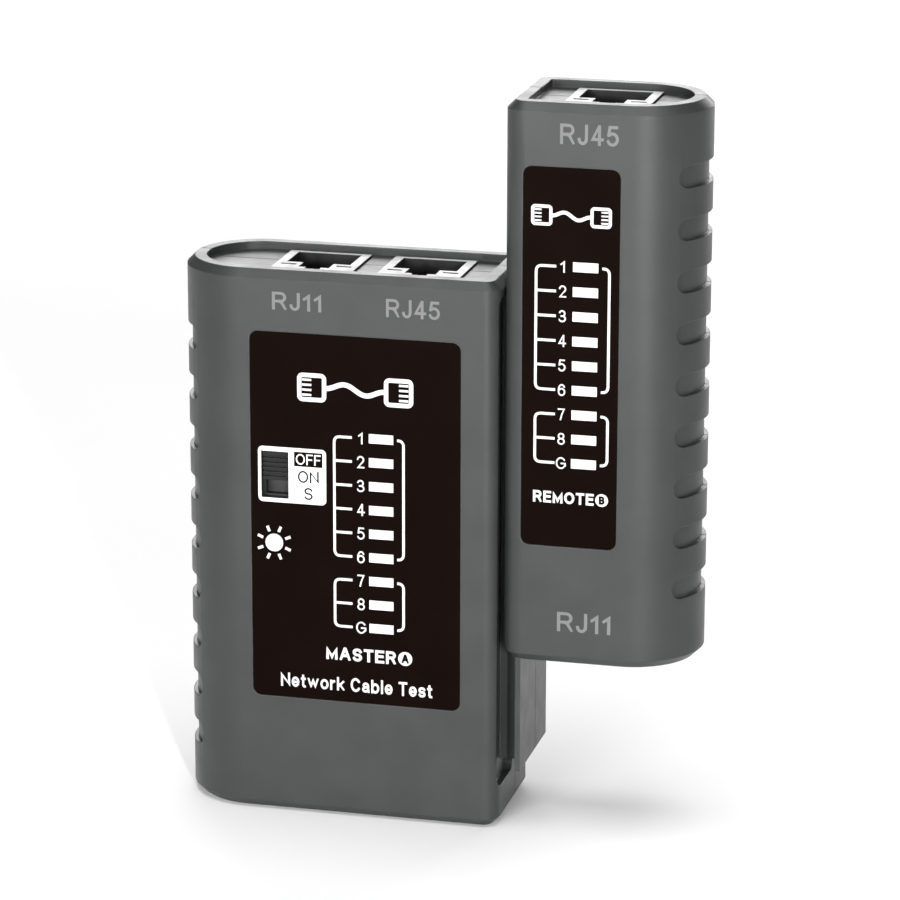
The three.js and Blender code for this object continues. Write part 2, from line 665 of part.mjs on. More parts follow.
function addLamps(group, unitName, windows) {
  for (let i = 0; i < WINDOWS; i += 1) {
    const z = windows.lowest + (WINDOWS - 1 - i) * WINDOW.pitch;
    group.add(mesh(`${unitName}_led_${i + 1}`, lamp(windows.x, z), COLOURS.lens));
  }
}

function addSocket(group, name, x, upright) {
  const housing = mesh(`${name}_jack`, jackHousing(), COLOURS.jack);
  const contacts = mesh(`${name}_contacts`, jackContacts(), COLOURS.contact);
  [housing, contacts].forEach((item) => {
    if (upright) {
      group.add(placed(item, x, 0, POCKET_FLOOR + JACK_PROUD));
      return;
    }
    item.geometry = turnedOver(item.geometry);
    group.add(placed(item, x, 0, POCKET_DEPTH - JACK_PROUD));
  });
}

// The same socket mirrored to face down, with its triangles turned so that they still face out.
function turnedOver(geometry) {
  const result = geometry.clone().applyMatrix4(new THREE.Matrix4().makeScale(1, 1, -1));
  const index = result.index.array;
  for (let i = 0; i < index.length; i += 3) {
    const first = index[i];
    index[i] = index[i + 1];
    index[i + 1] = first;
  }
  result.computeVertexNormals();
  return result;
}

function masterUnit() {
  const group = new THREE.Group();
  group.add(mesh('master_front_shell', masterFrontShell(), COLOURS.shell));
  group.add(mesh('master_rear_shell', masterRearShell(), COLOURS.shell));
  group.add(mesh('battery_door', batteryDoor(), COLOURS.shell));
  const lensHole = arc(POWER_LENS.x, POWER_LENS.z, POWER_LENS.radius + 0.1, 0, 345, 23);
  const holes = [...windowOutlines(MASTER_WINDOWS, 0), switchOutline(0), lensHole];
  group.add(mesh('master_label', labelSticker(MASTER_LABEL, holes), COLOURS.label));
  group.add(mesh('master_light_guide', lightGuide(MASTER_WINDOWS), COLOURS.lens));
  group.add(mesh('power_lens', powerLens(), COLOURS.lens));
  group.add(mesh('switch_body', switchBody(), COLOURS.black));
  group.add(mesh('switch_knob', switchKnob(), COLOURS.knob));
  group.add(mesh('master_circuit_board', masterBoard(), COLOURS.board));
  addSocket(group, 'master_rj11', MASTER_JACKS[0], true);
  addSocket(group, 'master_rj45', MASTER_JACKS[1], true);
  addLamps(group, 'master', MASTER_WINDOWS);
  group.add(mesh('power_led', lamp(POWER_LENS.x, POWER_LENS.z), COLOURS.lens));
  group.add(mesh('sequencer_chip', chip(25, 75, 6.4, 19, 8), COLOURS.black));
  group.add(mesh('timer_chip', chip(38, 72, 6.4, 9.6, 4), COLOURS.black));
  group.add(mesh('smoothing_capacitor', capacitor(), COLOURS.black));
  group.add(mesh('battery_9v', battery(), COLOURS.battery));
  group.add(mesh('battery_snap', batterySnap(), COLOURS.black));
  group.add(mesh('battery_lead_red', lead(BATTERY.x + 6), COLOURS.red));
  group.add(mesh('battery_lead_black', lead(BATTERY.x + 10), COLOURS.black));
  addScrews(group, 'master', MASTER_SCREWS);
  return group;
}

function remoteUnit() {
  const group = new THREE.Group();
  group.add(mesh('remote_front_shell', remoteFrontShell(), COLOURS.shell));
  group.add(mesh('remote_rear_shell', remoteRearShell(), COLOURS.shell));
  const remoteSticker = labelSticker(REMOTE_LABEL, windowOutlines(REMOTE_WINDOWS, 0));
  group.add(mesh('remote_label', remoteSticker, COLOURS.label));
  group.add(mesh('remote_light_guide', lightGuide(REMOTE_WINDOWS), COLOURS.lens));
  group.add(mesh('remote_circuit_board', remoteBoard(), COLOURS.board));
  addSocket(group, 'remote_rj45', REMOTE_JACK, true);
  addSocket(group, 'remote_rj11', REMOTE_JACK, false);
  addLamps(group, 'remote', REMOTE_WINDOWS);
  group.add(mesh('remote_diode_array', chip(15, 53, 6.4, 19, 8), COLOURS.black));
  addScrews(group, 'remote', REMOTE_SCREWS);
  return group;
}

const totalWidth = MASTER_WIDTH + UNIT_GAP + REMOTE_WIDTH;
const tester = new THREE.Group();
tester.add(placed(masterUnit(), -totalWidth / 2, -DEPTH / 2, 0));
tester.add(placed(remoteUnit(), totalWidth / 2 - REMOTE_WIDTH, -DEPTH / 2, REMOTE_RAISE));

export default tester;
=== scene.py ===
"""Looks for a two-piece network cable tester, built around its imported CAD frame. Lengths are in metres."""

import math

import bmesh
import bpy
from mathutils import Matrix, Vector


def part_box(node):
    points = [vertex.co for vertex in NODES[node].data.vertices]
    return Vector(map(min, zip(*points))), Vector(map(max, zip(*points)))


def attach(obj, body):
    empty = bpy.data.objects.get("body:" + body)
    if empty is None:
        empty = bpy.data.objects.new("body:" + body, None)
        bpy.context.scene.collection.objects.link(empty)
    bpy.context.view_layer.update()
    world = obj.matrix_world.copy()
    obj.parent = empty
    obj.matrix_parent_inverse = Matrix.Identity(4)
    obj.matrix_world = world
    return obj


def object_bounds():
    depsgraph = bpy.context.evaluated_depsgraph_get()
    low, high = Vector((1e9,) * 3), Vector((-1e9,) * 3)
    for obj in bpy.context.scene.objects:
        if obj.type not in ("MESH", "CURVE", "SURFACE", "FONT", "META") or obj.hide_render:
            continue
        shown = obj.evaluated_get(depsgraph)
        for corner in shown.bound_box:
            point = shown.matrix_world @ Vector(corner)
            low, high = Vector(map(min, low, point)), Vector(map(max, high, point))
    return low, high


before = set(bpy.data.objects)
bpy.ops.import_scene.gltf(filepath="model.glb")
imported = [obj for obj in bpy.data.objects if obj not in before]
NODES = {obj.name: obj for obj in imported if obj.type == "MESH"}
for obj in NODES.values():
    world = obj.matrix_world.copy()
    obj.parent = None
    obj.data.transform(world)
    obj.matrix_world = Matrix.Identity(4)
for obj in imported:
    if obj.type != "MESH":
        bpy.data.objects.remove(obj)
CAD_BOX = [list(corner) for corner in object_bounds()]

MM = 0.001

# Each unit is drawn from its own left, front and lower corner: x to the right, depth back from
# the front face, z up.
UNIT_CORNER = {unit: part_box(unit + "_front_shell")[0] for unit in ("master", "remote")}


def at(unit, x, depth, z):
    """A point given in millimetres in a unit's own frame."""
    corner = UNIT_CORNER[unit]
    return Vector((corner.x + x * MM, corner.y + depth * MM, corner.z + z * MM))


# ---------------------------------------------------------------- materials

def link(tree, source, target):
    tree.links.new(source, target)


def node(tree, kind, **inputs):
    made = tree.nodes.new(kind)
    for key, value in inputs.items():
        made.inputs[key.replace("_", " ")].default_value = value
    return made


def start_material(name):
    made = bpy.data.materials.new(name)
    made.use_nodes = True
    tree = made.node_tree
    shader = tree.nodes["Principled BSDF"]
    coords = tree.nodes.new("ShaderNodeTexCoord").outputs["Object"]
    return made, tree, shader, coords


def noise(tree, coords, size, detail=3.0, stretch=None):
    """Noise whose features are about size metres across."""
    if stretch:
        mapping = tree.nodes.new("ShaderNodeMapping")
        mapping.inputs["Scale"].default_value = stretch
        link(tree, coords, mapping.inputs["Vector"])
        coords = mapping.outputs["Vector"]
    made = node(tree, "ShaderNodeTexNoise", Scale=1.0 / size, Detail=detail, Roughness=0.55)
    link(tree, coords, made.inputs["Vector"])
    return made.outputs["Fac"]


def remap(tree, value, low, high, from_low=0.35, from_high=0.65):
    made = node(tree, "ShaderNodeMapRange", From_Min=from_low, From_Max=from_high, To_Min=low, To_Max=high)
    link(tree, value, made.inputs["Value"])
    return made.outputs["Result"]


def mix_colours(tree, factor, a, b):
    """Mixes two colours, each an RGBA tuple or another node's output."""
    made = tree.nodes.new("ShaderNodeMix")
    made.data_type = "RGBA"
    link(tree, factor, made.inputs["Factor"])
    for name, colour in (("A", a), ("B", b)):
        socket = next(s for s in made.inputs if s.name == name and s.type == "RGBA")
        if isinstance(colour, tuple):
            socket.default_value = colour
        else:
            link(tree, colour, socket)
    return next(s for s in made.outputs if s.type == "RGBA")


def grey(level):
    return (level, level, level, 1.0)


def edge_mask(tree, radius):
    """1 on a sharp outer edge, 0 on a flat: how far a rounded normal turns away from the true one."""
    rounded = tree.nodes.new("ShaderNodeBevel")
    rounded.samples = 4
    rounded.inputs["Radius"].default_value = radius
    plain = tree.nodes.new("ShaderNodeNewGeometry")
    dot = tree.nodes.new("ShaderNodeVectorMath")
    dot.operation = "DOT_PRODUCT"
    link(tree, rounded.outputs["Normal"], dot.inputs[0])
    link(tree, plain.outputs["Normal"], dot.inputs[1])
    return remap(tree, dot.outputs["Value"], 1.0, 0.0, 0.80, 0.995), rounded.outputs["Normal"]


def plastic(name, dark, light, roughness, grain, depth, mottle=0.012, edge=0.0, edge_wear_and_highlight=None, specular=0.5):
    """Moulded plastic: mottled colour, an eroded texture, uneven gloss, and edges that are rounded and
    lighter in patches: partly wear, partly a painted highlight along the edges."""
    made, tree, shader, coords = start_material(name)
    colour = mix_colours(tree, remap(tree, noise(tree, coords, mottle), 0.0, 1.0), dark, light)
    rough = remap(tree, noise(tree, coords, mottle * 0.35, 5.0), roughness[0], roughness[1])
    bump = node(tree, "ShaderNodeBump", Strength=1.0, Distance=depth)
    link(tree, noise(tree, coords, grain, 2.0), bump.inputs["Height"])
    if edge:
        mask, rounded = edge_mask(tree, edge)
        link(tree, rounded, bump.inputs["Normal"])
        # Lighter colour in patches on sharp edges: partly wear, partly painted highlight.
        if edge_wear_and_highlight:
            patches = remap(tree, noise(tree, coords, 0.004, 4.0), 0.15, 1.0, 0.45, 0.62)
            share = tree.nodes.new("ShaderNodeMath")
            share.operation = "MULTIPLY"
            link(tree, mask, share.inputs[0])
            link(tree, patches, share.inputs[1])
            colour = mix_colours(tree, share.outputs["Value"], colour, edge_wear_and_highlight)
    link(tree, colour, shader.inputs["Base Color"])
    link(tree, rough, shader.inputs["Roughness"])
    link(tree, bump.outputs["Normal"], shader.inputs["Normal"])
    shader.inputs["Specular IOR Level"].default_value = specular
    return made


def metal(name, dark, light, roughness, grain, depth, stretch=(1, 1, 1)):
    made, tree, shader, coords = start_material(name)
    link(tree, mix_colours(tree, remap(tree, noise(tree, coords, grain * 6), 0.0, 1.0), dark, light),
         shader.inputs["Base Color"])
    brushed = noise(tree, coords, grain, 3.0, stretch)
    link(tree, remap(tree, brushed, roughness[0], roughness[1]), shader.inputs["Roughness"])
    bump = node(tree, "ShaderNodeBump", Strength=1.0, Distance=depth)
    link(tree, brushed, bump.inputs["Height"])
    link(tree, bump.outputs["Normal"], shader.inputs["Normal"])
    shader.inputs["Metallic"].default_value = 1.0
    return made


def height_of(tree, coords):
    split = tree.nodes.new("ShaderNodeSeparateXYZ")
    link(tree, coords, split.inputs["Vector"])
    return split.outputs["Z"]


def jack_plastic(name, z_from, z_to):
    """A socket's light bezel at z_to, over painted shade: below it the colour turns near black, fully so at
    z_from, standing in for the shadow deep inside the socket's mouth.
    """
    made, tree, shader, coords = start_material(name)
    bezel = mix_colours(tree, remap(tree, noise(tree, coords, 0.003), 0.0, 1.0), grey(0.36), grey(0.42))
    # Painted shade: this near-black colour deep in the mouth stands in for the shadow inside the socket.
    body = mix_colours(tree, remap(tree, noise(tree, coords, 0.003), 0.0, 1.0), grey(0.004), grey(0.008))
    share = remap(tree, height_of(tree, coords), 0.0, 1.0, z_from, z_to)
    link(tree, mix_colours(tree, share, body, bezel), shader.inputs["Base Color"])
    link(tree, remap(tree, noise(tree, coords, 0.002, 4.0), 0.34, 0.5), shader.inputs["Roughness"])
    bump = node(tree, "ShaderNodeBump", Strength=1.0, Distance=0.000006)
    link(tree, noise(tree, coords, 0.0003), bump.inputs["Height"])
    link(tree, bump.outputs["Normal"], shader.inputs["Normal"])
    return made


def board_material(name):
    """Green solder mask over copper tracks that show as faint raised lines."""
    made, tree, shader, coords = start_material(name)
    tracks = node(tree, "ShaderNodeTexWave", Scale=90.0, Distortion=2.5, Detail=1.0)
    tracks.bands_direction = "X"
    link(tree, coords, tracks.inputs["Vector"])
    raised = remap(tree, tracks.outputs["Fac"], 0.0, 1.0, 0.55, 0.65)
    mask = mix_colours(tree, remap(tree, noise(tree, coords, 0.01), 0.0, 1.0),
                       (0.006, 0.055, 0.022, 1), (0.010, 0.075, 0.030, 1))
    link(tree, mix_colours(tree, raised, mask, (0.02, 0.13, 0.05, 1)), shader.inputs["Base Color"])
    link(tree, remap(tree, noise(tree, coords, 0.001), 0.22, 0.4), shader.inputs["Roughness"])
    bump = node(tree, "ShaderNodeBump", Strength=0.8, Distance=0.00003)
    link(tree, raised, bump.inputs["Height"])
    link(tree, bump.outputs["Normal"], shader.inputs["Normal"])
    return made


def battery_material(name, low, high):
    """A printed steel can: a dark sleeve with a copper shoulder band and a bare crimped rim at each end."""
    made, tree, shader, coords = start_material(name)
    ramp = tree.nodes.new("ShaderNodeValToRGB")
    ramp.color_ramp.interpolation = "CONSTANT"
    stops = ramp.color_ramp.elements
    stops[0].position = 0.0
    stops[0].color = (0.52, 0.50, 0.47, 1)
    stops[1].position = 0.03
    stops[1].color = (0.018, 0.020, 0.026, 1)
    for position, colour in ((0.68, (0.50, 0.23, 0.09, 1)), (0.93, (0.52, 0.50, 0.47, 1))):
        stops.new(position).color = colour
    along = remap(tree, height_of(tree, coords), 0.0, 1.0, low, high)
    link(tree, along, ramp.inputs["Fac"])
    scuffed = remap(tree, noise(tree, coords, 0.0015, 5.0), 0.0, 0.12, 0.62, 0.8)
    printed = mix_colours(tree, scuffed, ramp.outputs["Color"], (0.35, 0.34, 0.33, 1))
    link(tree, printed, shader.inputs["Base Color"])
    link(tree, remap(tree, noise(tree, coords, 0.002, 4.0), 0.24, 0.42), shader.inputs["Roughness"])
    bump = node(tree, "ShaderNodeBump", Strength=1.0, Distance=0.00001)
    link(tree, noise(tree, coords, 0.0008), bump.inputs["Height"])
    link(tree, bump.outputs["Normal"], shader.inputs["Normal"])
    shader.inputs["Metallic"].default_value = 0.65
    return made


def lamp_material(name):
    """Milky epoxy of a small lamp."""
    made, tree, shader, coords = start_material(name)
    link(tree, mix_colours(tree, remap(tree, noise(tree, coords, 0.001), 0.0, 1.0),
                           (0.70, 0.74, 0.70, 1), (0.82, 0.85, 0.80, 1)), shader.inputs["Base Color"])
    link(tree, remap(tree, noise(tree, coords, 0.0008), 0.08, 0.2), shader.inputs["Roughness"])
    shader.inputs["Subsurface Weight"].default_value = 0.3
    shader.inputs["Subsurface Radius"].default_value = (0.001, 0.001, 0.001)
    shader.inputs["Subsurface Scale"].default_value = 1.0
    return made


EDGE_RADIUS = 0.0003
# The lighter edge colours of the shell and the knob are partly wear, partly painted highlight.
SHELL = plastic("moulded_abs", (0.026, 0.0275, 0.027, 1), (0.031, 0.0325, 0.032, 1), (0.37, 0.44),
                0.00022, 0.000011, edge=EDGE_RADIUS, edge_wear_and_highlight=(0.075, 0.078, 0.077, 1), specular=0.36)
LABEL = plastic("label_film_satin", (0.0038, 0.0017, 0.0012, 1), (0.0046, 0.0021, 0.0014, 1), (0.42, 0.50),
                0.0006, 0.000002, specular=0.015)
WHITE_INK = plastic("ink_white", grey(0.60), grey(0.64), (0.45, 0.6), 0.0003, 0.000003)
DARK_INK = plastic("ink_dark", (0.0042, 0.0019, 0.0013, 1), (0.0048, 0.0022, 0.0014, 1), (0.45, 0.6),
                   0.0003, 0.000003, specular=0.015)
GREY_INK = plastic("ink_grey", grey(0.125), grey(0.145), (0.5, 0.65), 0.0003, 0.000004)
WINDOW = plastic("milky_moulding", grey(0.62), grey(0.68), (0.25, 0.4), 0.0004, 0.000003, mottle=0.002)
KNOB = plastic("knob_pom", grey(0.005), grey(0.008), (0.36, 0.52), 0.0003, 0.000006, mottle=0.002,
               edge=0.0002, edge_wear_and_highlight=grey(0.025), specular=0.2)
BLACK = plastic("black_nylon", grey(0.010), grey(0.016), (0.42, 0.6), 0.0003, 0.000006, mottle=0.003)
EPOXY = plastic("chip_epoxy", grey(0.011), grey(0.018), (0.45, 0.62), 0.0001, 0.000008, mottle=0.002)
RED = plastic("red_vinyl", (0.42, 0.012, 0.010, 1), (0.50, 0.018, 0.014, 1), (0.3, 0.45), 0.0006, 0.00001)
GOLD = metal("gold_flash", (0.72, 0.50, 0.20, 1), (0.86, 0.62, 0.28, 1), (0.22, 0.36), 0.0002, 0.000003,
             (1, 1, 0.1))
STEEL = metal("plated_steel", (0.42, 0.42, 0.43, 1), (0.58, 0.58, 0.58, 1), (0.26, 0.42), 0.00025, 0.000006)
CAN = metal("capacitor_can", (0.10, 0.11, 0.16, 1), (0.13, 0.14, 0.20, 1), (0.3, 0.45), 0.0004, 0.000004)
BOARD = board_material("solder_mask")
LAMP = lamp_material("lamp_epoxy")

SLOT_MATERIAL = {"shell_plastic": SHELL, "label_film": LABEL, "clear_moulding": WINDOW,
                 "jack_plastic": BLACK, "contact_brass": GOLD, "screw_steel": STEEL,
                 "board_laminate": BOARD, "knob_plastic": KNOB, "black_plastic": BLACK,
                 "red_insulation": RED}
NODE_MATERIAL = {"sequencer_chip": EPOXY, "timer_chip": EPOXY, "remote_diode_array": EPOXY,
                 "smoothing_capacitor": CAN}
battery_low, battery_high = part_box("battery_9v")
NODE_MATERIAL["battery_9v"] = battery_material("battery_sleeve", battery_low.z, battery_high.z)
PAINTED_SHADE_DEPTH = 0.00012      # depth below a socket's mouth at which the painted shade inside it is full
PAINTED_SHADE_FADE_START = 0.8           # the share of that depth down to which the bezel is fully light; below it the painted shade fades in
# Each socket gets painted shade below its light bezel, in place of the shadow inside its mouth.
for jack in ("master_rj11_jack", "master_rj45_jack", "remote_rj45_jack", "remote_rj11_jack"):
    low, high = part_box(jack)
    upward = jack != "remote_rj11_jack"
    mouth = high.z if upward else low.z
    inner = mouth - PAINTED_SHADE_DEPTH if upward else mouth + PAINTED_SHADE_DEPTH
    edge_z = mouth - PAINTED_SHADE_DEPTH * PAINTED_SHADE_FADE_START if upward else mouth + PAINTED_SHADE_DEPTH * PAINTED_SHADE_FADE_START
    NODE_MATERIAL[jack] = jack_plastic(jack + "_plastic", inner, edge_z)


# ------------------------------------------------- smooth shading of CAD nodes

CREASE = math.radians(24)


def shading_group():
    """Welds the triangles, then shades smooth everywhere but on edges sharper than the crease angle."""
    tree = bpy.data.node_groups.new("shade_by_crease", "GeometryNodeTree")
    tree.interface.new_socket("Geometry", in_out="INPUT", socket_type="NodeSocketGeometry")
    tree.interface.new_socket("Geometry", in_out="OUTPUT", socket_type="NodeSocketGeometry")
    entry = tree.nodes.new("NodeGroupInput")
    leave = tree.nodes.new("NodeGroupOutput")
    unset = tree.nodes.new("GeometryNodeRemoveAttribute")
    unset.inputs["Name"].default_value = "custom_normal"
    weld = tree.nodes.new("GeometryNodeMergeByDistance")
    weld.inputs["Distance"].default_value = 1e-6
    faces = tree.nodes.new("GeometryNodeSetShadeSmooth")
    faces.domain = "FACE"
    soft = tree.nodes.new("GeometryNodeSetShadeSmooth")
    soft.domain = "EDGE"
    sharp = tree.nodes.new("GeometryNodeSetShadeSmooth")
    sharp.domain = "EDGE"
    sharp.inputs["Shade Smooth"].default_value = False
    angle = tree.nodes.new("GeometryNodeInputMeshEdgeAngle")
    limit = tree.nodes.new("FunctionNodeCompare")
    limit.data_type = "FLOAT"
    limit.operation = "GREATER_THAN"
    limit.inputs["B"].default_value = CREASE
    chain = [entry, unset, weld, faces, soft, sharp, leave]
    for before, after in zip(chain, chain[1:]):
        link(tree, before.outputs["Geometry"], after.inputs["Geometry"])
    link(tree, angle.outputs["Unsigned Angle"], limit.inputs["A"])
    link(tree, limit.outputs["Result"], sharp.inputs["Selection"])
    return tree


SHADING = shading_group()


def shade(piece):
    crease = piece.modifiers.new("crease", "NODES")
    crease.node_group = SHADING
    normals = piece.modifiers.new("normals", "WEIGHTED_NORMAL")
    normals.keep_sharp = True
    normals.weight = 80


for name, piece in NODES.items():
    slot_name = piece.data.materials[0].name.split(".")[0]
    chosen = NODE_MATERIAL.get(name) or (LAMP if "_led" in name else SLOT_MATERIAL[slot_name])
    piece.data.materials.clear()
    piece.data.materials.append(chosen)
    shade(piece)


# ---------------------------------------------------------- printed marks

INK = 0.00005          # thickness of a printed layer
LABEL_FACE = 0.15      # depth of a label's face behind the unit's front, in mm
LABEL_PRINT = LABEL_FACE - INK / MM    # depth of the front of a print on a label, in mm
SHELL_PRINT = -0.01    # depth of a print on a shell, which stands just in front of it, in mm
LAYER = 0.02           # how far a second print lies in front of the first, in mm
STROKE = 0.48          # width of a printed line, in mm
BRACKET_CORNER = 1.1   # radius of a bracket's corner, in mm


def piece_from(name, build, material, body):
    """Adds a mesh object made by build(bm), riding on a body."""
    bm = bmesh.new()
    build(bm)
    bmesh.ops.recalc_face_normals(bm, faces=bm.faces)
    mesh = bpy.data.meshes.new(name)
    bm.to_mesh(mesh)
    bm.free()
    made = bpy.data.objects.new(name, mesh)
    bpy.context.scene.collection.objects.link(made)
    mesh.materials.append(material)
    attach(made, body)


def slab(bm, unit, outline, depth, thickness=INK):
    """A thin closed plate with the outline (x, z), its front at the given depth."""
    front = [bm.verts.new(at(unit, x, depth, z)) for x, z in outline]
    back = [bm.verts.new(v.co + Vector((0, thickness, 0))) for v in front]
    bm.faces.new(front)
    bm.faces.new(list(reversed(back)))
    for i in range(len(front)):
        j = (i + 1) % len(front)
        bm.faces.new((front[i], back[i], back[j], front[j]))


def arc(cx, cz, radius, start, stop, steps):
    return [(cx + radius * math.cos(math.radians(start + (stop - start) * i / steps)),
             cz + radius * math.sin(math.radians(start + (stop - start) * i / steps)))
            for i in range(steps + 1)]


def rounded_box(x0, x1, z0, z1, radius, steps=8):
    return (arc(x1 - radius, z1 - radius, radius, 0, 90, steps)
            + arc(x0 + radius, z1 - radius, radius, 90, 180, steps)
            + arc(x0 + radius, z0 + radius, radius, 180, 270, steps)
            + arc(x1 - radius, z0 + radius, radius, 270, 360, steps))


def rounded_path(points, radius, steps=6):
    """A polyline whose inner corners are turned into arcs."""
    path = [points[0]]
    for a, b, c in zip(points, points[1:], points[2:]):
        a, b, c = Vector(a), Vector(b), Vector(c)
        into, out = (a - b).normalized(), (c - b).normalized()
        for i in range(steps + 1):
            t = i / steps
            start, end = b + into * radius, b + out * radius
            path.append(tuple((1 - t) ** 2 * start + 2 * t * (1 - t) * b + t ** 2 * end))
    path.append(points[-1])
    return path


def ribbon_outline(path, width, closed=False):
    """The two edges of a line of the given width, mitred at each point."""
    count = len(path)
    left, right = [], []
    for i, point in enumerate(path):
        here = Vector(point)
        before = Vector(path[i - 1]) if (i or closed) else None
        after = Vector(path[(i + 1) % count]) if (i < count - 1 or closed) else None
        into = (here - before).normalized() if before is not None else (after - here).normalized()
        out = (after - here).normalized() if after is not None else into
        direction = (into + out).normalized()
        side = Vector((-direction.y, direction.x))
        reach = width / 2 / max(0.3, side.dot(Vector((-into.y, into.x))))
        left.append(tuple(here + side * reach))
        right.append(tuple(here - side * reach))
    return left, right


def strip(bm, unit, sides, depth, closed=False):
    """A closed thin band between two edges of equal length, its front at the given depth."""
    left, right = sides
    back = depth + INK / MM
    rings = [[bm.verts.new(at(unit, x, d, z)) for x, z in edge]
             for edge, d in ((left, depth), (right, depth), (right, back), (left, back))]
    last = len(left) if closed else len(left) - 1
    for k in range(4):
        a, b = rings[k], rings[(k + 1) % 4]
        for i in range(last):
            j = (i + 1) % len(a)
            bm.faces.new((a[i], a[j], b[j], b[i]))
    if not closed:
        bm.faces.new([ring[0] for ring in rings])
        bm.faces.new([ring[-1] for ring in reversed(rings)])


def line(bm, unit, path, depth, width=STROKE, closed=False):
    """A printed line along path."""
    strip(bm, unit, ribbon_outline(path, width, closed), depth, closed)


def ellipse(cx, cz, rx, rz, start, stop, steps=14):
    return [(cx + rx * math.cos(math.radians(start + (stop - start) * i / steps)),
             cz + rz * math.sin(math.radians(start + (stop - start) * i / steps)))
            for i in range(steps + 1)]


def bowl(cx, cz, rx, rz):
    """A full turn, given once round as a closed stroke."""
    return ellipse(cx, cz, rx, rz, 90, 450, 28)


